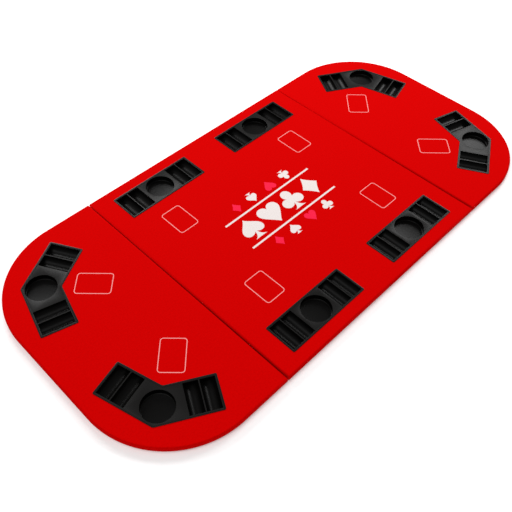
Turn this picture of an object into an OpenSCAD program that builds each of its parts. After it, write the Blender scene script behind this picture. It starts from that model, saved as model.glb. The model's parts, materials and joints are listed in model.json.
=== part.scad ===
// Folding poker table top: four felt-covered panels that fold like an accordion,
// with a moulded chip and cup tray at each of eight places.
// X runs along the length, Y across it and Z up; the feet stand on Z = 0.

/* [Table top] */
// Length of the opened top
top_l = 1600; // [1560:10:1700]
// Width of the opened top
top_w = 800; // [780:10:860]
// Radius of the four rounded corners
corner_r = 255; // [245:5:265]
// Distance from the centre to each end fold
fold_x = 400.5; // [399:0.5:402]
// Gap between the panels at an end fold
fold_gap = 2; // [1.5:0.5:3]
// Gap between the two middle boards under the felt
centre_gap = 3; // [2:0.5:4]

/* [Panel layers] */
// Height of a rubber foot
foot_h = 6; // [6:0.5:7]
// Thickness of a board
board_t = 9; // [8:0.5:12]
// Thickness of the foam on a board
foam_t = 4; // [3:0.5:6]
// Thickness of the felt
felt_t = 1; // [0.8:0.1:1.2]
// Width of the felt that is turned under the board's edge
felt_return = 30; // [20:1:30]
// Thickness of the cloth tape over the centre joint
tape_t = 0.5; // [0.3:0.1:0.8]
// Width of the cloth tape over the centre joint
tape_w = 60; // [40:5:80]

/* [Trays] */
// Width of every tray
tray_w = 98.5; // [97.5:0.5:100]
// Length of a straight side tray
side_tray_l = 276; // [276:1:280]
// Length of a corner tray's arm from the middle of its cup
arm_l = 151; // [151:1:154]
// Angle between the two arms of a corner tray
arm_angle = 135; // [130:1:140]
// How far a tray's rim stands on the felt
rim_t = 1; // [0.8:0.1:1.2]
// Wall thickness below the rim
tray_t = 1.2; // [1:0.1:1.2]
// Radius of a tray's outer corners
tray_corner_r = 4; // [2:0.5:5]
// Width of the rim that rests on the felt
rim_w = 4.2; // [3.5:0.1:4.2]
// Radius of a cup recess
cup_r = 42.5; // [40:0.5:42.5]
// Depth of a cup recess below the rim
cup_depth = 17; // [14:0.5:17]
// Radius of a chip trough's round bottom
trough_r = 19.2; // [18:0.1:19.2]
// Length of a chip trough, across the tray
trough_l = 86; // [80:1:86]
// Depth of a chip trough below the rim
trough_depth = 17; // [14:0.5:17]

/* [Tray places] */
// Side tray's centre along the table
side_tray_x = 202; // [200:1:206]
// Side tray's centre across the table
side_tray_y = 313; // [305:1:315]
// Corner tray's cup centre along the table
corner_tray_x = 669; // [665:1:670]
// Corner tray's cup centre across the table
corner_tray_y = 237.5; // [235:0.5:240]
// Angle from X at which a corner tray points to its corner
corner_tray_turn = 38; // [36:1:40]

/* [Hinges] */
// Length of a hinge
hinge_l = 50; // [40:2:50]
// Width of one leaf from the pin's axis
leaf_w = 26; // [24:1:27]
// Thickness of a leaf
leaf_t = 1.1; // [1:0.1:1.2]
// Radius of a knuckle
knuckle_r = 2.3; // [2.1:0.05:2.3]
// Radius of a pin
pin_r = 1.15; // [1:0.05:1.2]
// Running clearance between a pin and the middle leaf
pin_clearance = 0.05; // [0.03:0.01:0.08]
// Distance from the middle hinge to the outer ones
hinge_pitch = 300; // [280:10:310]

/* [Fasteners and feet] */
// Radius of a hinge screw
screw_r = 1.5; // [1.3:0.1:1.6]
// Radius of a hinge screw's head
screw_head_r = 2.6; // [2.4:0.1:2.8]
// Length of a hinge screw
screw_l = 8; // [6:0.5:9]
// Radius of a foot
foot_r = 10; // [8:0.5:10]
// Width of a staple
staple_w = 10; // [8:0.5:12]
// Distance between staples
staple_pitch = 50; // [50:50:100]
// Thickness of the staple wire
wire_t = 0.5; // [0.4:0.1:0.6]

/* [Hidden] */
$fn = 96;

sides = ["left", "right"];
rows = ["far", "near"];
spots = ["far", "centre", "near"];
layers = ["board", "foam", "felt", "feet", "screws", "staples"];
hinge_pieces = ["end_leaf", "middle_leaf", "pin"];

// Heights of the layers, from the feet up
board_z = foot_h;
under_z = board_z - felt_t;
foam_z = board_z + board_t;
felt_z = foam_z + foam_t;
top_z = felt_z + felt_t;
rim_z = top_z + rim_t;

// Heights of a tray's recesses
cup_floor_z = rim_z - cup_depth;
trough_axis_z = rim_z - trough_depth + trough_r;
shell_top = rim_z - rim_t / 2;   // the recesses' walls end inside the rim

// The two middle felts meet at a slit; everything else at the centre keeps half the gap
felt_slit = 0.3;
fold_edge = fold_x + fold_gap / 2;
middle_edge = fold_x - fold_gap / 2;

// Places of the troughs, measured from the cup's middle
trough_from_end = [25, 66];
pocket_inset = rim_w;
arm_turn = arm_angle / 2 - 180;

// Hinges: the axis lies low enough for the panels to fold back to back
hinge_z = knuckle_r + 0.1;
knuckles = 5;
knuckle_gap = 0.2;
knuckle_l = (hinge_l - knuckle_gap * (knuckles - 1)) / knuckles;
leaf_top = under_z - hinge_z;
leaf_clear = 0.4;
spot_y = [hinge_pitch, 0, -hinge_pitch];
screw_places = [[18, -17], [11, 0], [18, 17]];

// Feet keep off the hinges, the trays and each other when the panels are folded
end_feet = [[-455, 230], [-455, -230], [-590, 140], [-590, -140], [-755, 40], [-755, -40]];
middle_feet = [[-300, 150], [-300, -150], [-50, 200], [-50, -200], [-180, 0]];

// Staples: rows along the straight edges, and one round each corner
staple_inset = 15;
staple_leg = 6;
fold_row = [-350, 350];
end_row = [-120, 60, 120];
end_side_row = [-520, -420];
middle_side_row = [-375, -25];
corner_row = [97.5, 15, 172.5];
past = 1;   // how far a cutting shape runs past what it cuts

// --- Outlines of the left half's panels, drawn in by inset from the felt's outside ---

module end_outline(inset) {
    arc_x = -top_l / 2 + corner_r;
    arc_y = top_w / 2 - corner_r;
    intersection() {
        translate([-top_l / 2 + inset, -top_w / 2 + inset])
            square([top_l / 2 - fold_edge - 2 * inset, top_w - 2 * inset]);
        union() {
            for (side = [-1, 1]) translate([arc_x, side * arc_y]) circle(r = corner_r - inset);
            translate([-top_l / 2, -arc_y]) square([corner_r, 2 * arc_y]);
            translate([arc_x, -top_w / 2]) square([corner_r, top_w]);
        }
    }
}

module middle_outline(inset, centre_x) {
    translate([-middle_edge + inset, -top_w / 2 + inset])
        square([middle_edge - inset + centre_x, top_w - 2 * inset]);
}

// --- Tray outlines ---

module rounded_rectangle(l, w, r) {
    square([l - 2 * r, w], center = true);
    square([l, w - 2 * r], center = true);
    for (x = [-1, 1], y = [-1, 1]) translate([x * (l / 2 - r), y * (w / 2 - r)]) circle(r = r);
}

// Places its children along both arms of a corner tray that points along +X
module each_arm() {
    for (flip = [0, 1]) mirror([0, flip, 0]) rotate(arm_turn) children();
}

// Where a point of an arm comes; along is from the cup's middle, out is towards the tray's outer side
function on_arm(along, out, flip) = [
    along * cos(arm_turn) - out * sin(arm_turn),
    flip * (along * sin(arm_turn) + out * cos(arm_turn))
];

module side_tray_outline(inset) {
    rounded_rectangle(side_tray_l - 2 * inset, tray_w - 2 * inset, max(tray_corner_r - inset, 1));
}

module corner_tray_outline(inset) {
    h = tray_w / 2 - inset;
    r = max(tray_corner_r - inset, 1);
    l = arm_l - inset - r;
    tip = h / sin(arm_angle / 2);
    polygon([
        [tip, 0], on_arm(l, h, 1), on_arm(l, -h, 1),
        [-tip, 0], on_arm(l, -h, -1), on_arm(l, h, -1)
    ]);
    each_arm() {
        translate([l - past, r - h]) square([r + past, 2 * (h - r)]);
        for (side = [-1, 1]) translate([l, side * (h - r)]) circle(r = r);
    }
}

module at_side_tray() {
    translate([-side_tray_x, side_tray_y, 0]) children();
}

module at_corner_tray() {
    translate([-corner_tray_x, corner_tray_y, 0]) rotate(180 - corner_tray_turn) children();
}

module each_row() {
    for (flip = [0, 1]) mirror([0, flip, 0]) children();
}

// Cut-outs that the trays drop into, through the board, the foam and the felt
module end_pockets() {
    translate([0, 0, under_z - past]) linear_extrude(top_z - under_z + 2 * past)
        each_row() at_corner_tray() corner_tray_outline(pocket_inset);
}

module middle_pockets() {
    translate([0, 0, under_z - past]) linear_extrude(top_z - under_z + 2 * past)
        each_row() at_side_tray() side_tray_outline(pocket_inset);
}

// --- Hinge screws: side is -1 for the end panel's leaf and 1 for the middle panel's ---

module each_screw(side) {
    for (y = spot_y, p = screw_places) translate([-fold_x + side * p[0], y + p[1], 0]) children();
}

module screw_bodies() {
    head_z = under_z - leaf_t;
    translate([0, 0, head_z]) cylinder(r1 = screw_head_r, r2 = screw_r, h = leaf_t);
    translate([0, 0, under_z]) cylinder(r = screw_r, h = screw_l - leaf_t);
}

// --- Layers of the panels ---

module end_board() color("peru") difference() {
    translate([0, 0, board_z]) linear_extrude(board_t) end_outline(felt_t);
    end_pockets();
    each_screw(-1) screw_bodies();
}

module middle_board() color("peru") difference() {
    translate([0, 0, board_z]) linear_extrude(board_t) middle_outline(felt_t, -centre_gap / 2);
    middle_pockets();
    each_screw(1) screw_bodies();
}

module end_foam() color("whitesmoke") difference() {
    translate([0, 0, foam_z]) linear_extrude(foam_t) end_outline(felt_t);
    end_pockets();
}

module middle_foam() color("whitesmoke") difference() {
    translate([0, 0, foam_z]) linear_extrude(foam_t) middle_outline(felt_t, -centre_gap / 2);
    middle_pockets();
    translate([-tape_w / 2, -top_w / 2, foam_z - past]) cube([tape_w, top_w, tape_t + past]);
}

// The felt covers the foam, wraps the edges and is turned under the board
module end_felt() color("red") difference() {
    translate([0, 0, under_z]) linear_extrude(top_z - under_z) end_outline(0);
    translate([0, 0, board_z]) linear_extrude(felt_z - board_z) end_outline(felt_t);
    translate([0, 0, under_z - past]) linear_extrude(felt_t + 2 * past) end_outline(felt_return);
    end_pockets();
    each_screw(-1) screw_bodies();
}

module middle_felt() color("red") difference() {
    translate([0, 0, under_z]) linear_extrude(top_z - under_z) middle_outline(0, -felt_slit / 2);
    translate([0, 0, board_z]) linear_extrude(felt_z - board_z) middle_outline(felt_t, past);
    translate([0, 0, under_z - past]) linear_extrude(felt_t + 2 * past)
        middle_outline(felt_return, past);
    middle_pockets();
    each_screw(1) screw_bodies();
}

module feet(places) color("black") {
    for (p = places) translate([p[0], p[1], 0]) cylinder(r = foot_r, h = foot_h);
}

module end_feet() feet(end_feet);

module middle_feet() feet(middle_feet);

module end_screws() color("silver") each_screw(-1) screw_bodies();

module middle_screws() color("silver") each_screw(1) screw_bodies();

// --- Staples, each a wire crown under the felt with two legs in the board ---

module staple() {
    translate([-staple_w / 2, -wire_t / 2, under_z - wire_t]) cube([staple_w, wire_t, wire_t]);
    for (side = [-1, 1])
        translate([side * (staple_w - wire_t) / 2 - wire_t / 2, -wire_t / 2, under_z - wire_t])
            cube([wire_t, wire_t, staple_leg]);
}

// A row along the end fold, which leaves out the places where the hinges are
module fold_staples(x) {
    for (y = [fold_row[0]:staple_pitch:fold_row[1]])
        if (min([for (h = spot_y) abs(y - h)]) > hinge_l / 2 + staple_w / 2)
            translate([x, y, 0]) rotate(90) staple();
}

module end_staples() color("silver") {
    arc_x = -top_l / 2 + corner_r;
    arc_y = top_w / 2 - corner_r;
    fold_staples(-fold_edge - staple_inset);
    for (y = [end_row[0]:end_row[1]:end_row[2]])
        translate([-top_l / 2 + staple_inset, y, 0]) rotate(90) staple();
    each_row() {
        for (x = [end_side_row[0]:staple_pitch:end_side_row[1]])
            translate([x, top_w / 2 - staple_inset, 0]) staple();
        translate([arc_x, arc_y, 0])
            for (a = [corner_row[0]:corner_row[1]:corner_row[2]])
                rotate(a - 90) translate([0, corner_r - staple_inset, 0]) staple();
    }
}

module middle_staples() color("silver") {
    fold_staples(-middle_edge + staple_inset);
    each_row() for (x = [middle_side_row[0]:staple_pitch:middle_side_row[1]])
        translate([x, top_w / 2 - staple_inset, 0]) staple();
}

// --- Cloth tape that joins the two middle boards over their gap ---

module centre_tape() color("dimgray")
    translate([-tape_w / 2, -top_w / 2 + felt_t, foam_z])
        cube([tape_w / 2 - felt_slit / 2, top_w - 2 * felt_t, tape_t]);

// --- Trays: a flat rim and deck, with a cup can and half-round troughs hanging from it ---

module cup(r, floor_z, top) {
    translate([0, 0, floor_z]) cylinder(r = r, h = top - floor_z);
}

module trough(r, l) {
    translate([0, 0, trough_axis_z]) rotate([90, 0, 0]) cylinder(r = r, h = l, center = true);
}

module trough_shell() {
    intersection() {
        trough(trough_r + tray_t, trough_l + 2 * tray_t);
        translate([0, 0, shell_top / 2]) cube([tray_w, tray_w, shell_top], center = true);
    }
}

module side_troughs() {
    for (side = [-1, 1], from_end = trough_from_end)
        translate([side * (side_tray_l / 2 - from_end), 0, 0]) children();
}

module corner_troughs() {
    each_arm() for (from_end = trough_from_end) translate([arm_l - from_end, 0, 0]) children();
}

module side_tray() color([0.12, 0.12, 0.13]) at_side_tray() difference() {
    union() {
        translate([0, 0, top_z]) linear_extrude(rim_t) side_tray_outline(0);
        cup(cup_r + tray_t, cup_floor_z - tray_t, shell_top);
        side_troughs() trough_shell();
    }
    cup(cup_r, cup_floor_z, rim_z + past);
    side_troughs() trough(trough_r, trough_l);
}

module corner_tray() color([0.12, 0.12, 0.13]) at_corner_tray() difference() {
    union() {
        translate([0, 0, top_z]) linear_extrude(rim_t) corner_tray_outline(0);
        cup(cup_r + tray_t, cup_floor_z - tray_t, shell_top);
        corner_troughs() trough_shell();
    }
    cup(cup_r, cup_floor_z, rim_z + past);
    corner_troughs() trough(trough_r, trough_l);
}

// --- Butt hinges under the end folds: the leaf lies on the felt, its knuckles on the axis ---

module knuckle(i, bore_r) {
    y = -hinge_l / 2 + i * (knuckle_l + knuckle_gap);
    translate([0, y, 0]) difference() {
        union() {
            rotate([-90, 0, 0]) cylinder(r = knuckle_r, h = knuckle_l);
            translate([0.3, 0, leaf_top - leaf_t])
                cube([knuckle_r + leaf_clear + past - 0.3, knuckle_l, leaf_t]);
        }
        translate([0, -past, 0]) rotate([-90, 0, 0]) cylinder(r = bore_r, h = knuckle_l + 2 * past);
    }
}

// A leaf along +X from the axis; first is 0 for three knuckles and 1 for two
module leaf(first, bore_r) {
    edge = knuckle_r + leaf_clear;
    difference() {
        translate([edge, -hinge_l / 2, leaf_top - leaf_t]) cube([leaf_w - edge, hinge_l, leaf_t]);
        for (p = screw_places) translate([p[0], p[1], -hinge_z]) screw_bodies();
    }
    for (i = [first:2:knuckles - 1]) knuckle(i, bore_r);
}

module at_hinge(y) {
    translate([-fold_x, y, hinge_z]) children();
}

module end_leaf(y) color("silver") at_hinge(y) mirror([1, 0, 0]) leaf(0, pin_r);

module middle_leaf(y) color("silver") at_hinge(y) leaf(1, pin_r + pin_clearance);

module pin(y) color("gray") at_hinge(y)
    rotate([90, 0, 0]) cylinder(r = pin_r, h = hinge_l, center = true);

// --- The left half is drawn as it is, and the right half is its mirror image ---

module on_side(s) mirror([s == "right" ? 1 : 0, 0, 0]) children();

module in_row(r) mirror([0, r == "near" ? 1 : 0, 0]) children();

for (s = sides) on_side(s) {
    end_board();
    end_foam();
    end_felt();
    end_feet();
    end_screws();
    end_staples();
    middle_board();
    middle_foam();
    middle_felt();
    middle_feet();
    middle_screws();
    middle_staples();
    centre_tape();
}

for (s = sides, r = rows) on_side(s) in_row(r) {
    corner_tray();
    side_tray();
}

for (s = sides, i = [0:2]) on_side(s) {
    hinge = str("hinge_", s, "_", spots[i]);
    end_leaf(spot_y[i]);
    middle_leaf(spot_y[i]);
    pin(spot_y[i]);
}
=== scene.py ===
import json
import math
import bmesh
import bpy
from mathutils import Matrix, Vector


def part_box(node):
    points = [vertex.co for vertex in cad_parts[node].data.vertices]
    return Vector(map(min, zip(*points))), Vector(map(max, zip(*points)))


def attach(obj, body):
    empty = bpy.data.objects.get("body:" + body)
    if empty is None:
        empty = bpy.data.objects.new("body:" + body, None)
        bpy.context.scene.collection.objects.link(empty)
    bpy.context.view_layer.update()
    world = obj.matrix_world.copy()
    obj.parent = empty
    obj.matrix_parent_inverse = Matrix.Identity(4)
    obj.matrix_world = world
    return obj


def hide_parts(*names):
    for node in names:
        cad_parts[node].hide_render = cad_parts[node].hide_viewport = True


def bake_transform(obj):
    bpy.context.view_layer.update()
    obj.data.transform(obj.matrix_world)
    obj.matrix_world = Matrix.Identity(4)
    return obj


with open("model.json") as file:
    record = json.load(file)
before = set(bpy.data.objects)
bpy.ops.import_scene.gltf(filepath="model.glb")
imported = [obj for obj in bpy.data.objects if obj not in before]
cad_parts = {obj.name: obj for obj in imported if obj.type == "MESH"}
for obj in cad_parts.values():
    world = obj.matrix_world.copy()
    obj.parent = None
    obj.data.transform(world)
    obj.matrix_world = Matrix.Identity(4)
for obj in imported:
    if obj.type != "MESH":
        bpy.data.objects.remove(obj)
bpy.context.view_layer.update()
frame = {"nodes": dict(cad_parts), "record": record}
mm = 0.001
sides = ("left", "right")
rows = ("far", "near")
print("frame loaded")


def hexColour(code):
    # sRGB hex to the linear values that the shaders work in
    channels = [int(code[i:i + 2], 16) / 255 for i in (0, 2, 4)]
    return [c / 12.92 if c <= 0.04045 else ((c + 0.055) / 1.055) ** 2.4 for c in channels] + [1]


def addNode(tree, kind, settings=None, links=None):
    node = tree.nodes.new(kind)
    for name, value in (settings or {}).items():
        if name in node.inputs:
            node.inputs[name].default_value = value
        else:
            setattr(node, name, value)
    for name, source in (links or {}).items():
        tree.links.new(source, node.inputs[name])
    return node


def grainedSurface(name, colours, grain, bumpHeight, stretch=(1, 1, 1), **surface):
    # A Principled surface whose colour runs between two close tones over a grain in real millimetres
    material = bpy.data.materials.new(name)
    material.use_nodes = True
    tree = material.node_tree
    shader = tree.nodes["Principled BSDF"]
    for socket, value in surface.items():
        shader.inputs[socket].default_value = value
    place = addNode(tree, "ShaderNodeTexCoord")
    mapping = addNode(tree, "ShaderNodeMapping", {"Scale": stretch}, {"Vector": place.outputs["Object"]})
    noise = addNode(tree, "ShaderNodeTexNoise", {"Scale": 1 / (grain * mm), "Detail": 3},
                    {"Vector": mapping.outputs["Vector"]})
    ramp = addNode(tree, "ShaderNodeValToRGB", links={"Fac": noise.outputs["Fac"]})
    ramp.color_ramp.elements[0].position = 0.3
    ramp.color_ramp.elements[1].position = 0.7
    ramp.color_ramp.elements[0].color = hexColour(colours[0])
    ramp.color_ramp.elements[1].color = hexColour(colours[1])
    tree.links.new(ramp.outputs["Color"], shader.inputs["Base Color"])
    bump = addNode(tree, "ShaderNodeBump", {"Strength": 1, "Distance": bumpHeight * mm},
                   {"Height": noise.outputs["Fac"]})
    tree.links.new(bump.outputs["Normal"], shader.inputs["Normal"])
    return material


def meshPiece(name, bm, material, smooth=None):
    # smooth is the largest angle between faces that still shades smoothly, in degrees
    bmesh.ops.recalc_face_normals(bm, faces=bm.faces)
    mesh = bpy.data.meshes.new(name)
    if smooth:
        for face in bm.faces:
            face.smooth = True
        for edge in bm.edges:
            edge.smooth = len(edge.link_faces) == 2 and edge.calc_face_angle(0) < math.radians(smooth)
    bm.to_mesh(mesh)
    bm.free()
    piece = bpy.data.objects.new(name, mesh)
    bpy.context.scene.collection.objects.link(piece)
    if material:
        mesh.materials.append(material)
    return piece


def carve(piece, tool, operation):
    # Boolean with a loose tool, applied at once
    modifier = piece.modifiers.new("carve", "BOOLEAN")
    modifier.operation, modifier.object, modifier.solver = operation, tool, "EXACT"
    depsgraph = bpy.context.evaluated_depsgraph_get()
    mesh = bpy.data.meshes.new_from_object(piece.evaluated_get(depsgraph))
    piece.modifiers.clear()
    piece.data = mesh
    bpy.data.objects.remove(tool)


def bevelEdges(bm, edges, size, segments):
    bmesh.ops.bevel(bm, geom=edges, offset=size * mm, offset_type="OFFSET", affect="EDGES",
                    segments=segments, profile=0.5, material=-1, clamp_overlap=True)


def extrudeUp(bm, faces, height):
    # Returns all that the extrusion made
    lifted = bmesh.ops.extrude_face_region(bm, geom=faces)["geom"]
    bmesh.ops.translate(bm, vec=(0, 0, height * mm),
                        verts=[part for part in lifted if isinstance(part, bmesh.types.BMVert)])
    return lifted


def uprightEdges(bm):
    return [e for e in bm.edges if abs(e.verts[0].co.z - e.verts[1].co.z) > 1e-6]


def sharpEdges(bm, degrees):
    bm.normal_update()
    return [e for e in bm.edges if len(e.link_faces) == 2 and e.calc_face_angle(0) > math.radians(degrees)]


def oblong(halfX, halfY, y=0):
    return [(-halfX, y - halfY), (halfX, y - halfY), (halfX, y + halfY), (-halfX, y + halfY)]


def slab(points, low, high, cornerRound):
    # An upright prism on an outline, with its upright edges rounded; everything in millimetres
    bm = bmesh.new()
    base = bm.faces.new([bm.verts.new((x * mm, y * mm, low * mm)) for x, y in points])
    extrudeUp(bm, [base], high - low)
    if cornerRound:
        bevelEdges(bm, uprightEdges(bm), cornerRound, 6)
    bmesh.ops.recalc_face_normals(bm, faces=bm.faces)
    return bm


# Polyester speed cloth with a brushed face: even, matt and saturated. The brushed mottle is
# about 0.4 mm on the real cloth and is drawn at 5 mm, so that it shows.
felt = grainedSurface("brushed polyester felt", ("C20000", "CC0000"), 5, 0.08,
                      Roughness=0.95, **{"Specular IOR Level": 0.02})
# Screen-printed ink, sunk in the nap: flat and chalky, with the cloth's unevenness. The fine
# lines take less ink, so the red shows through them.
thinInk = grainedSurface("thin white screen-print ink", ("F09694", "F4A6A4"), 4, 0.01,
                         Roughness=0.8, **{"Specular IOR Level": 0.2})
whiteInk = grainedSurface("white screen-print ink", ("DCD2CF", "E4DCDA"), 4, 0.01,
                          Roughness=0.8, **{"Specular IOR Level": 0.2})
pinkInk = grainedSurface("magenta red screen-print ink", ("E60638", "F21044"), 4, 0.01,
                         Roughness=0.8, **{"Specular IOR Level": 0.2})
# Injection-moulded ABS, black. Rim and deck have a spark-eroded grain of about 0.3 mm drawn at
# 1.2 mm, with broad soft highlights. The recesses come off polished cores and are smoother; their
# darker colour is painted shade, standing in for the shade that falls in the hollows.
grainedPlastic = grainedSurface("grained black ABS", ("060504", "0A0807"), 1.2, 0.02,
                                Roughness=0.42, IOR=1.54, **{"Specular IOR Level": 0.12})
# smoother for the polish, and darker than the grained ABS as painted shade in the recesses
polishedPlasticWithPaintedShade = grainedSurface("polished black ABS with painted shade", ("030302", "050404"), 1.2, 0.004,
                                 Roughness=0.34, IOR=1.54, **{"Specular IOR Level": 0.07})
# Medium density fibreboard, pressed: short pale and dark fibres, matt.
fibreboard = grainedSurface("medium density fibreboard", ("8E6B45", "A9855B"), 1.6, 0.05, (1, 1, 3),
                            Roughness=0.85, IOR=1.5)
# Open-cell polyurethane foam: cells of about 0.6 mm, cream white.
foam = grainedSurface("polyurethane foam", ("DAD6C6", "F1EEE2"), 0.8, 0.25, Roughness=0.95, IOR=1.45)
# Cloth tape, woven and coated black: rows of thread about 1 mm apart.
clothTape = grainedSurface("coated cloth tape", ("17181A", "232427"), 1, 0.1, (1, 0.2, 1),
                           Roughness=0.7, IOR=1.48)
# Steel pressed and zinc plated: cool grey with small crystal spangle, half matt.
zinc = grainedSurface("zinc-plated pressed steel", ("A9ADB0", "C6CACD"), 1.8, 0.01,
                      Metallic=1, Roughness=0.34)
# Bright drawn steel wire of the staples and pins.
steelWire = grainedSurface("galvanised drawn steel", ("B4B6B8", "CDD0D2"), 1, 0.005, (1, 1, 0.2),
                           Metallic=1, Roughness=0.28)
# Moulded rubber: charcoal and dull, a little bloomed.
rubber = grainedSurface("moulded black rubber", ("141414", "202020"), 2, 0.03, Roughness=0.75, IOR=1.52)
print("materials made")


cover = {
    "cloth": 1,           # thickness
    "topRound": 5,        # where the cloth is pulled over the foam's edge
    "underRound": 1.5,
    "turnUnder": 30,      # width of felt stapled under the board
    "cornerRadius": 255,  # the table's four corners
    "foldEase": 0.7,      # the cloth is drawn back this far at each side of a fold
    "bend": 1.6,          # half width of the strip that bends at the centre fold
    "pocketInset": 4.2,   # the cut-outs lie this far inside a tray's outline
    "trimSpare": 0.3,     # the block that trims the foam stands this far outside it
}
tray = {
    "width": 98.5, "cornerRound": 4, "rimZ": 21, "deckZ": 20.45, "underZ": 20,
    "rimWidth": 4.6,      # raised border round the sunk deck
    "deckCornerRound": 1.6,
    "aboveZ": 30,         # the cutting shapes reach up to here
    "cupRadius": 42.5, "cupFloorZ": 4, "wall": 1.2,
    "troughRadius": 19.2, "troughLength": 86, "troughAxisZ": 23.2, "troughsFromEnd": (25, 66),
    "edgeRound": 0.7, "cupFillet": 2.6,
    "sideLength": 276, "armLength": 151, "armAngle": 135, "pointing": 38,
}


def sideOutline(inset):
    return oblong(tray["sideLength"] / 2 - inset, tray["width"] / 2 - inset)


def onArm(along, out, flip):
    # A point of one arm; the arms run from the cup and the tray's outer corner points along +X
    turn = math.radians(tray["armAngle"] / 2 - 180)
    return (along * math.cos(turn) - out * math.sin(turn),
            flip * (along * math.sin(turn) + out * math.cos(turn)))


def cornerOutline(inset):
    half, end = tray["width"] / 2 - inset, tray["armLength"] - inset
    tip = half / math.sin(math.radians(tray["armAngle"] / 2))
    return [(tip, 0), onArm(end, half, -1), onArm(end, -half, -1), (-tip, 0),
            onArm(end, -half, 1), onArm(end, half, 1)]


def trayPlace(kind, row, side):
    # From a tray's own frame to the table: the cup bore of each tray is one of the record's mounts
    mount = next(m for m in frame["record"]["mounts"] if m["name"] == f"{kind}_cup_{row}_{side}")
    x, y = mount["pos_m"][:2]
    if kind == "side":
        turn = 0
    else:
        turn = math.radians(tray["pointing"])
        turn = turn if x > 0 else math.pi - turn
        turn = turn if y > 0 else -turn
    return Matrix.Translation((x, y, 0)) @ Matrix.Rotation(turn, 4, "Z")


def insideOutline(point, outline):
    inside = False
    for a, b in zip(outline, outline[1:] + outline[:1]):
        if (a.y > point.y) != (b.y > point.y):
            if point.x < (b.x - a.x) * (point.y - a.y) / (b.y - a.y) + a.x:
                inside = not inside
    return inside


def cutPocket(bm, outline):
    # Splits the flat felt along each side of the outline, then drops what lies inside
    for a, b in zip(outline, outline[1:] + outline[:1]):
        flat = [f for f in bm.faces if abs(f.normal.z) > 0.99]
        parts = set(flat) | {e for f in flat for e in f.edges} | {v for f in flat for v in f.verts}
        across = Vector((b.y - a.y, a.x - b.x, 0)).normalized()
        bmesh.ops.bisect_plane(bm, geom=list(parts), dist=1e-7, plane_co=a, plane_no=across)
    bm.normal_update()
    gone = [f for f in bm.faces if abs(f.normal.z) > 0.99 and insideOutline(f.calc_center_median(), outline)]
    bmesh.ops.delete(bm, geom=gone, context="FACES")


def panelBlock(low, high, endPanel, inside):
    # A block with an end panel's two round corners, inside by that much of the cover's outer face
    middle = (low + high) / 2
    bm = bmesh.new()
    bmesh.ops.create_cube(bm, size=1)
    bmesh.ops.scale(bm, vec=high - low, verts=bm.verts)
    bmesh.ops.translate(bm, vec=middle, verts=bm.verts)
    outer = [e for e in uprightEdges(bm) if endPanel and abs(e.verts[0].co.x) > abs(middle.x)]
    if outer:
        bevelEdges(bm, outer, cover["cornerRadius"] - inside, 40)
    bm.normal_update()
    return bm


def roundRim(bm, z, radius, segments):
    # Rounds the sharp edges that lie level at height z, given in metres
    rim = [e for e in sharpEdges(bm, 57) if all(abs(v.co.z - z) < 1e-6 for v in e.verts)]
    bevelEdges(bm, rim, radius, segments)


def cutAtBend(bm):
    # Cuts across the strip that bends at the centre fold
    bend = cover["bend"] * mm
    for x in (-bend, -bend / 2, 0, bend / 2, bend):
        bmesh.ops.bisect_plane(bm, geom=bm.faces[:] + bm.edges[:] + bm.verts[:], dist=1e-7,
                               plane_co=(x, 0, 0), plane_no=(1, 0, 0))


def foamPad(panel, side):
    # The frame's foam with its upper edges pressed round by the felt, all but those at the centre fold
    node, spare = f"{panel}_{side}_foam", cover["trimSpare"]
    low, high = (Vector(v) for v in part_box(node))
    low, high = low - Vector((spare, spare, 6)) * mm, high + Vector((spare, spare, spare)) * mm
    if panel == "middle":
        (high if side == "left" else low).x = 0.01 if side == "left" else -0.01
    block = panelBlock(low, high, panel == "end", cover["cloth"] - spare)
    roundRim(block, high.z, cover["topRound"] - cover["cloth"] + spare, 6)
    bm = bmesh.new()
    bm.from_mesh(frame["nodes"][node].data)
    bmesh.ops.remove_doubles(bm, verts=bm.verts, dist=1e-6)
    pad = meshPiece(f"foam_pad_{panel}_{side}", bm, foam)
    carve(pad, meshPiece("tool", block, None), "INTERSECT")
    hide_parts(node)
    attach(pad, f"{panel}_{side}")


def feltCover(name, nodes, pockets, endPanel):
    low, high = (Vector(pick(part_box(n)[i][k] for n in nodes) for k in range(3))
                 for i, pick in enumerate((min, max)))
    if low.x > 0 or not endPanel:
        low.x += cover["foldEase"] * mm
    if high.x < 0 or not endPanel:
        high.x -= cover["foldEase"] * mm
    bm = panelBlock(low, high, endPanel, 0)
    under = [f for f in bm.faces if f.normal.z < -0.99]
    bmesh.ops.inset_region(bm, faces=under, thickness=cover["turnUnder"] * mm, use_even_offset=True)
    bmesh.ops.delete(bm, geom=under, context="FACES")
    roundRim(bm, high.z, cover["topRound"], 6)
    roundRim(bm, low.z, cover["underRound"], 3)
    bm.normal_update()
    if not endPanel:
        # only the top of the sheet runs over the centre fold
        cutAtBend(bm)
        notch = [f for f in bm.faces if abs(f.calc_center_median().x) < cover["bend"] * mm
                 and f.calc_center_median().z < high.z - cover["topRound"] * mm * 0.6]
        bmesh.ops.delete(bm, geom=notch, context="FACES")
        bm.normal_update()
    for pocket in pockets:
        cutPocket(bm, pocket)
    for face in bm.faces:
        face.smooth = abs(face.normal.z) < 0.995
    mesh = bpy.data.meshes.new(name)
    bm.to_mesh(mesh)
    bm.free()
    mesh.materials.append(felt)
    piece = bpy.data.objects.new(name, mesh)
    bpy.context.scene.collection.objects.link(piece)
    thick = piece.modifiers.new("cloth thickness", "SOLIDIFY")
    thick.thickness, thick.offset = cover["cloth"] * mm, -1
    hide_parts(*nodes)
    return piece


def pocketOutline(kind, row, side):
    outline = (sideOutline if kind == "side" else cornerOutline)(cover["pocketInset"])
    place = trayPlace(kind, row, side)
    return [place @ Vector((x * mm, y * mm, 0.02)) for x, y in outline]


for side in sides:
    piece = feltCover(f"felt_end_{side}", [f"end_{side}_felt"],
                      [pocketOutline("corner", row, side) for row in rows], True)
    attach(piece, f"end_{side}")

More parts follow.
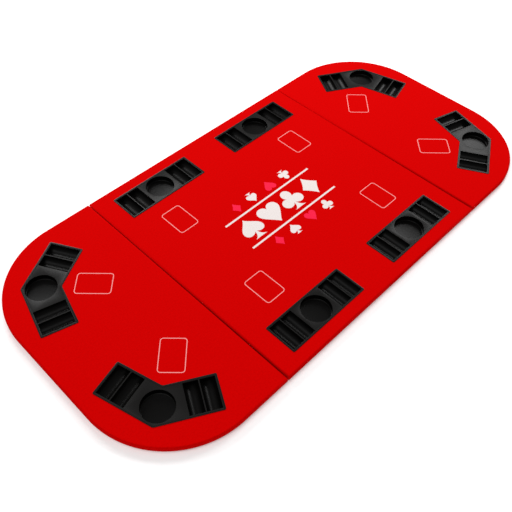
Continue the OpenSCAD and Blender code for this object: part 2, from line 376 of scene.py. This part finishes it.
middleFelt = feltCover("felt_middle", ["middle_left_felt", "middle_right_felt"],
                       [pocketOutline("side", row, side) for row in rows for side in sides], False)
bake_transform(middleFelt)
for side in sides:
    for panel in ("end", "middle"):
        foamPad(panel, side)
print("felt covers and foam made")


marks = {
    "topZ": 20.14, "bottomZ": 19.6,   # ink stands a hair over the felt
    "cardLine": 2, "cardRound": 9,
    # from the middle along and across, width, length
    "sideCard": (243.5, 170, 66, 94), "cornerCard": (552, 156, 68.5, 98),
    # the outlines were printed a little off true, by row
    "sideOff": {"far": (-3.8, 0), "near": (-3.8, 0)}, "cornerOff": {"far": (-9.6, -3), "near": (-4.4, -2)},
    "ruleY": 55, "ruleHalfLength": 175, "ruleWidth": 6,
    # suits and their places along the table
    "bigPips": (("spade", -124), ("heart", -41), ("club", 41), ("diamond", 124)), "bigPip": 80,
    "smallPips": (("diamond", -100), ("spade", -37), ("heart", 35), ("club", 102)),
    "smallPipY": 87, "smallPip": 40,
}
# Right half of each suit's outline from top to foot, one unit high: point, handle in, handle out
suits = {
    "diamond": [((0, 0.5), None, (0.08, 0.33)), ((0.38, 0), (0.24, 0.13), (0.24, -0.13)),
                ((0, -0.5), (0.08, -0.33), None)],
    "heart": [((0, 0.27), None, (0.04, 0.41)), ((0.25, 0.46), (0.13, 0.46), (0.38, 0.46)),
              ((0.49, 0.20), (0.49, 0.36), (0.49, 0.0)), ((0, -0.5), (0.14, -0.28), None)],
    "spade": [((0, 0.5), None, (0.11, 0.28)), ((0.45, -0.08), (0.45, 0.14), (0.45, -0.22)),
              ((0.25, -0.29), (0.36, -0.29), (0.15, -0.29)), ((0.04, -0.2), (0.09, -0.26), (0.06, -0.36)),
              ((0.27, -0.5), (0.14, -0.46), (0.18, -0.5)), ((0, -0.5), (0.1, -0.5), None)],
    "club": [((0, 0.5), None, (0.12, 0.5)), ((0.21, 0.28), (0.21, 0.4), (0.21, 0.19)),
             ((0.14, 0.1), (0.18, 0.14), (0.18, 0.12)), ((0.26, 0.13), (0.22, 0.13), (0.38, 0.13)),
             ((0.48, -0.09), (0.48, 0.03), (0.48, -0.21)), ((0.26, -0.31), (0.38, -0.31), (0.16, -0.31)),
             ((0.04, -0.19), (0.08, -0.27), (0.06, -0.36)), ((0.27, -0.5), (0.14, -0.46), (0.18, -0.5)),
             ((0, -0.5), (0.1, -0.5), None)],
}


def pipShape(bm, suit, x, y, height, upward):
    # A filled Bezier outline, made a mesh and joined to bm
    right = suits[suit]
    left = [((-p[0], p[1]), out and (-out[0], out[1]), into and (-into[0], into[1]))
            for p, into, out in reversed(right[1:-1])]
    first, last = right[0], right[-1]
    topPoint = (first[0], (-first[2][0], first[2][1]), first[2])
    footPoint = (last[0], last[1], (-last[1][0], last[1][1]))
    loop = [topPoint, *right[1:-1], footPoint, *left]
    curve = bpy.data.curves.new("pip", "CURVE")
    curve.dimensions, curve.fill_mode, curve.resolution_u = "2D", "BOTH", 8
    spline = curve.splines.new("BEZIER")
    spline.bezier_points.add(len(loop) - 1)
    spline.use_cyclic_u = True
    for point, (at, into, out) in zip(spline.bezier_points, loop):
        point.handle_left_type = point.handle_right_type = "FREE"
        point.co, point.handle_left, point.handle_right = [(*(c or at), 0) for c in (at, into, out)]
    holder = bpy.data.objects.new("pip", curve)
    mesh = bpy.data.meshes.new_from_object(holder)
    flat = bmesh.new()
    flat.from_mesh(mesh)
    bmesh.ops.remove_doubles(flat, verts=flat.verts, dist=1e-5)
    bmesh.ops.scale(flat, vec=(height * mm, upward * height * mm, 1), verts=flat.verts)
    bmesh.ops.translate(flat, vec=(x * mm, y * mm, marks["bottomZ"] * mm), verts=flat.verts)
    extrudeUp(flat, flat.faces[:], marks["topZ"] - marks["bottomZ"])
    solid = bpy.data.meshes.new("pip")
    flat.to_mesh(solid)
    flat.free()
    bm.from_mesh(solid)
    bpy.data.objects.remove(holder)


def cardOutline(name, spot, turn, body):
    x, y, width, length = spot
    bm = slab(oblong(width / 2, length / 2), marks["bottomZ"], marks["topZ"], marks["cardRound"])
    caps = [f for f in bm.faces if abs(f.normal.z) > 0.99]
    for cap in caps:
        bmesh.ops.inset_region(bm, faces=[cap], thickness=marks["cardLine"] * mm, use_even_offset=True)
    loops = [e for cap in caps for e in cap.edges]
    bmesh.ops.delete(bm, geom=caps, context="FACES_ONLY")
    bmesh.ops.bridge_loops(bm, edges=loops)
    place = Matrix.Translation((x * mm, y * mm, 0)) @ Matrix.Rotation(turn, 4, "Z")
    bmesh.ops.transform(bm, matrix=place, verts=bm.verts)
    piece = meshPiece(name, bm, thinInk)
    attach(piece, body)


for side, sx in zip(sides, (-1, 1)):
    for row, sy in zip(rows, (1, -1)):
        for kind, panel, turn in (("side", "middle", 0), ("corner", "end", -sx * sy * math.pi / 4)):
            (x, y, width, length), off = marks[kind + "Card"], marks[kind + "Off"][row]
            spot = (sx * x + off[0], sy * y + off[1], width, length)
            cardOutline(f"card_outline_{panel}_{row}_{side}", spot, turn, f"{panel}_{side}")

for side, sx in zip(sides, (-1, 1)):
    pips = {"white": bmesh.new(), "red": bmesh.new()}
    for suit, x in marks["bigPips"]:
        if x * sx > 0:
            pipShape(pips["white"], suit, x, 0, marks["bigPip"], 1)
    for suit, x in marks["smallPips"]:
        if x * sx > 0:
            ink = "red" if suit in ("diamond", "heart") else "white"
            for row in (1, -1):
                pipShape(pips[ink], suit, x, row * marks["smallPipY"], marks["smallPip"], -row)
    for ink, bm in pips.items():
        piece = meshPiece(f"pips_{ink}_{side}", bm, whiteInk if ink == "white" else pinkInk)
        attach(piece, f"middle_{side}")

for row, sy in zip(rows, (1, -1)):
    line = oblong(marks["ruleHalfLength"], marks["ruleWidth"] / 2, sy * marks["ruleY"])
    bm = slab(line, marks["bottomZ"], marks["topZ"], 0)
    cutAtBend(bm)
    piece = meshPiece(f"rule_{row}", bm, whiteInk)
    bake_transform(piece)
print("printed marks made")


def roundBar(bm, radius, length, matrix, segments=72):
    bmesh.ops.create_cone(bm, cap_ends=True, cap_tris=False, segments=segments, radius1=radius * mm,
                          radius2=radius * mm, depth=length * mm, matrix=matrix)


def recessTools(spots, grow, topZ, cupLow):
    # The cup's can and the four troughs as loose solids, grown by the wall for the outside
    bm = bmesh.new()
    cupMiddle = Matrix.Translation((0, 0, (topZ + cupLow) / 2 * mm))
    roundBar(bm, tray["cupRadius"] + grow, topZ - cupLow, cupMiddle, 96)
    for x, y, turn in spots:
        place = Matrix.Translation((x * mm, y * mm, tray["troughAxisZ"] * mm)) @ Matrix.Rotation(turn, 4, "Z")
        roundBar(bm, tray["troughRadius"] + grow, tray["troughLength"] + 2 * grow,
                 place @ Matrix.Rotation(math.pi / 2, 4, "X"))
    if grow:
        bmesh.ops.bisect_plane(bm, geom=bm.faces[:] + bm.edges[:] + bm.verts[:], dist=1e-7, clear_outer=True,
                               plane_co=(0, 0, tray["deckZ"] * mm - 0.0002), plane_no=(0, 0, 1))
        bmesh.ops.holes_fill(bm, edges=[e for e in bm.edges if e.is_boundary], sides=0)
    return meshPiece("tool", bm, None)


def troughSpots(kind):
    # Middle and turn of each trough
    ends = [(end, fromEnd) for end in (-1, 1) for fromEnd in tray["troughsFromEnd"]]
    if kind == "side":
        return [(end * (tray["sideLength"] / 2 - fromEnd), 0, 0) for end, fromEnd in ends]
    turn = math.radians(tray["armAngle"] / 2 - 180)
    return [(*onArm(tray["armLength"] - fromEnd, 0, flip), flip * turn) for flip, fromEnd in ends]


def mouldedTray(kind):
    outline = sideOutline if kind == "side" else cornerOutline
    spots = troughSpots(kind)
    body = meshPiece("body", slab(outline(0), tray["underZ"], tray["rimZ"], tray["cornerRound"]), None)
    sunk = slab(outline(tray["rimWidth"]), tray["deckZ"], tray["aboveZ"], tray["deckCornerRound"])
    carve(body, meshPiece("tool", sunk, None), "DIFFERENCE")
    shells = recessTools(spots, tray["wall"], tray["deckZ"] - 0.2, tray["cupFloorZ"] - tray["wall"])
    carve(body, shells, "UNION")
    carve(body, recessTools(spots, 0, tray["aboveZ"], tray["cupFloorZ"]), "DIFFERENCE")
    bm = bmesh.new()
    bm.from_mesh(body.data)
    bpy.data.objects.remove(body)
    bmesh.ops.remove_doubles(bm, verts=bm.verts, dist=1e-6)
    bmesh.ops.dissolve_limit(bm, angle_limit=math.radians(0.5), verts=bm.verts, edges=bm.edges)
    floorZ, deckZ = tray["cupFloorZ"] * mm, tray["deckZ"] * mm
    cupFloor = [e for e in sharpEdges(bm, 40) if all(abs(v.co.z - floorZ) < 2e-5 for v in e.verts)]
    bevelEdges(bm, cupFloor, tray["cupFillet"], 5)
    topEdges = [e for e in sharpEdges(bm, 40) if all(v.co.z > deckZ - 2e-5 for v in e.verts)]
    bevelEdges(bm, topEdges, tray["edgeRound"], 3)
    # the recesses, below the deck, take the polished finish, whose darker colour is painted shade
    for face in bm.faces:
        face.material_index = int(face.calc_center_median().z < deckZ - 0.6 * mm)
    return bm


for kind in ("side", "corner"):
    shape = bpy.data.meshes.new("trayShape")
    bm = mouldedTray(kind)
    bm.to_mesh(shape)
    bm.free()
    for side in sides:
        for row in rows:
            bm = bmesh.new()
            bm.from_mesh(shape)
            bmesh.ops.transform(bm, matrix=trayPlace(kind, row, side), verts=bm.verts)
            node = f"{kind}_tray_{row}_{side}"
            piece = meshPiece(f"moulded_{node}", bm, grainedPlastic, 35)
            # the second slot is the polished finish for the recesses, darkened as painted shade
            piece.data.materials.append(polishedPlasticWithPaintedShade)
            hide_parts(node)
            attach(piece, f"end_{side}" if kind == "corner" else f"middle_{side}")
print("trays made")


# Boards, tape, hinges and staples keep the frame's own solids
keptFinish = {"board": fibreboard, "tape": clothTape, "leaf": zinc, "pin": steelWire,
              "staples": steelWire}
for name, node in frame["nodes"].items():
    for word, material in keptFinish.items():
        if word in name:
            node.data.materials.clear()
            node.data.materials.append(material)


foot = {"radius": 10, "height": 6, "edge": 1.4, "taper": 0.8, "recess": 3.4, "recessDepth": 2.2}
screw = {"head": 2.6, "shank": 1.5, "headHeight": 1.1, "length": 8, "pointLength": 2, "pointNarrow": 1.1,
         "slot": 0.7, "slotLength": 3.2, "slotDepth": 0.7}


def islands(node):
    # Middle and lowest point of each loose solid in a CAD node
    bm = bmesh.new()
    bm.from_mesh(frame["nodes"][node].data)
    bmesh.ops.remove_doubles(bm, verts=bm.verts, dist=1e-6)
    left, spots = set(bm.verts), []
    while left:
        group, edge = set(), [left.pop()]
        while edge:
            vert = edge.pop()
            group.add(vert)
            for link in vert.link_edges:
                other = link.other_vert(vert)
                if other in left:
                    left.discard(other)
                    edge.append(other)
        xs, ys, zs = zip(*(v.co for v in group))
        spots.append(Vector(((min(xs) + max(xs)) / 2, (min(ys) + max(ys)) / 2, min(zs))))
    bm.free()
    return spots


def footShape():
    bm = bmesh.new()
    bmesh.ops.create_cone(bm, cap_ends=True, segments=40, radius1=(foot["radius"] - foot["taper"]) * mm,
                          radius2=foot["radius"] * mm, depth=foot["height"] * mm,
                          matrix=Matrix.Translation((0, 0, foot["height"] / 2 * mm)))
    bm.normal_update()
    under = [f for f in bm.faces if f.normal.z < -0.99]
    rim = [e for f in under for e in f.edges]
    bevelEdges(bm, rim, foot["edge"], 4)
    bm.normal_update()
    under = [f for f in bm.faces if f.normal.z < -0.99]
    ring = foot["radius"] - foot["taper"] - foot["edge"] - foot["recess"]
    bmesh.ops.inset_region(bm, faces=under, thickness=ring * mm)
    bmesh.ops.inset_region(bm, faces=under, thickness=0.3 * mm, depth=-foot["recessDepth"] * mm)
    return bm


def screwShape():
    bm = bmesh.new()
    headMiddle = Matrix.Translation((0, 0, screw["headHeight"] / 2 * mm))
    bmesh.ops.create_cone(bm, cap_ends=True, segments=28, radius1=screw["head"] * mm,
                          radius2=screw["shank"] * mm, depth=screw["headHeight"] * mm, matrix=headMiddle)
    bm.normal_update()
    top = [f for f in bm.faces if f.normal.z > 0.99]
    shankLength = screw["length"] - screw["headHeight"] - screw["pointLength"]
    for step, narrow in ((shankLength, 0.01), (screw["pointLength"], screw["pointNarrow"])):
        bmesh.ops.inset_region(bm, faces=top, thickness=narrow * mm)
        lifted = extrudeUp(bm, top, step)
        bmesh.ops.delete(bm, geom=top, context="FACES")
        top = [f for f in lifted if isinstance(f, bmesh.types.BMFace)]
    body = meshPiece("screw", bm, None)
    for turn in (0, math.pi / 2):
        cut = bmesh.new()
        bmesh.ops.create_cube(cut, size=1)
        slot = Vector((screw["slotLength"], screw["slot"], 2 * screw["slotDepth"])) * mm
        bmesh.ops.scale(cut, vec=slot, verts=cut.verts)
        bmesh.ops.rotate(cut, matrix=Matrix.Rotation(turn + 0.4, 3, "Z"), verts=cut.verts)
        carve(body, meshPiece("tool", cut, None), "DIFFERENCE")
    bm = bmesh.new()
    bm.from_mesh(body.data)
    bpy.data.objects.remove(body)
    return bm


def repeatAt(name, shape, spots, material, node, body, smooth):
    mesh = bpy.data.meshes.new(name)
    shape.to_mesh(mesh)
    shape.free()
    bm = bmesh.new()
    for spot in spots:
        before = set(bm.verts)
        bm.from_mesh(mesh)
        bmesh.ops.translate(bm, vec=spot, verts=[v for v in bm.verts if v not in before])
    piece = meshPiece(name, bm, material, smooth)
    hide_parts(node)
    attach(piece, body)


for side in sides:
    for panel in ("end", "middle"):
        feet, screws, body = f"{panel}_{side}_feet", f"{panel}_{side}_screws", f"{panel}_{side}"
        repeatAt(f"rubber_feet_{body}", footShape(), islands(feet), rubber, feet, body, 40)
        repeatAt(f"hinge_screws_{body}", screwShape(), islands(screws), zinc, screws, body, 30)
print("feet and screws made")


studio = {
    "sky": 0.36, "backdrop": 0.97,
    "key": 90, "keyPlace": (0.8, 3.2, 1.9), "keySize": 1.8,     # behind, for the far felt
    "rim": 88, "rimPlace": (3.9, 0.8, 2.8), "rimSize": 1.6,     # from the right, for the tray rims
    "dome": 1.06, "domeFrom": (-0.3, 0.05, 1), "domeAngle": 40,
}
shot = {"azimuth": -46.59, "elevation": 50.59, "roll": 1.72, "distance": 1.7695,
        "target": (-0.189, -0.0806, 0.02), "lens": 45.2}

# A backlit sweep of matt white acrylic: it glows a little, so shadows on it stay faint
floorPaint = grainedSurface("backlit white acrylic", ("FBFBFB", "FDFDFD"), 30, 0.01, Roughness=0.9,
                            **{"Emission Color": (1, 1, 1, 1), "Emission Strength": 0.16})
bm = bmesh.new()
bmesh.ops.create_grid(bm, x_segments=2, y_segments=2, size=8)
bmesh.ops.translate(bm, vec=(0, 0, -0.0003), verts=bm.verts)
meshPiece("studio_floor", bm, floorPaint)

# The paper sweep behind the table is lit on its own, so it is seen paler than it lights
world = bpy.data.worlds.new("studio")
world.use_nodes = True
sky = world.node_tree.nodes["Background"]
sky.inputs["Color"].default_value = (1, 1, 1, 1)
seen = addNode(world.node_tree, "ShaderNodeLightPath")
level = addNode(world.node_tree, "ShaderNodeMapRange",
                {"To Min": studio["sky"], "To Max": studio["backdrop"]},
                {"Value": seen.outputs["Is Camera Ray"]})
world.node_tree.links.new(level.outputs["Result"], sky.inputs["Strength"])
bpy.context.scene.world = world


def studioLight(name, kind, energy, place):
    light = bpy.data.lights.new(name, kind)
    light.energy = energy
    lamp = bpy.data.objects.new(name, light)
    bpy.context.scene.collection.objects.link(lamp)
    lamp.location = place
    lamp.rotation_euler = (-Vector(place)).to_track_quat("-Z", "Y").to_euler()
    return light


for name in ("key", "rim"):
    softbox = studioLight(name, "AREA", studio[name], studio[name + "Place"])
    softbox.size, softbox.shape = studio[name + "Size"], "DISK"
studioLight("dome", "SUN", studio["dome"], studio["domeFrom"]).angle = math.radians(studio["domeAngle"])

azimuth, elevation, roll = (math.radians(shot[k]) for k in ("azimuth", "elevation", "roll"))
back = Vector((math.sin(azimuth) * math.cos(elevation), -math.cos(azimuth) * math.cos(elevation),
               math.sin(elevation)))
right = (-back).cross(Vector((0, 0, 1))).normalized()
up = right.cross(-back)
cameraData = bpy.data.cameras.new("camera")
cameraData.lens, cameraData.sensor_width = shot["lens"], 36
camera = bpy.data.objects.new("camera", cameraData)
bpy.context.scene.collection.objects.link(camera)
across = right * math.cos(roll) + up * math.sin(roll)
upright = up * math.cos(roll) - right * math.sin(roll)
camera.matrix_world = Matrix((across, upright, back)).transposed().to_4x4()
camera.location = Vector(shot["target"]) + back * shot["distance"]
bpy.context.scene.camera = camera
bpy.context.scene.view_settings.view_transform = "Standard"
print("camera and light set")
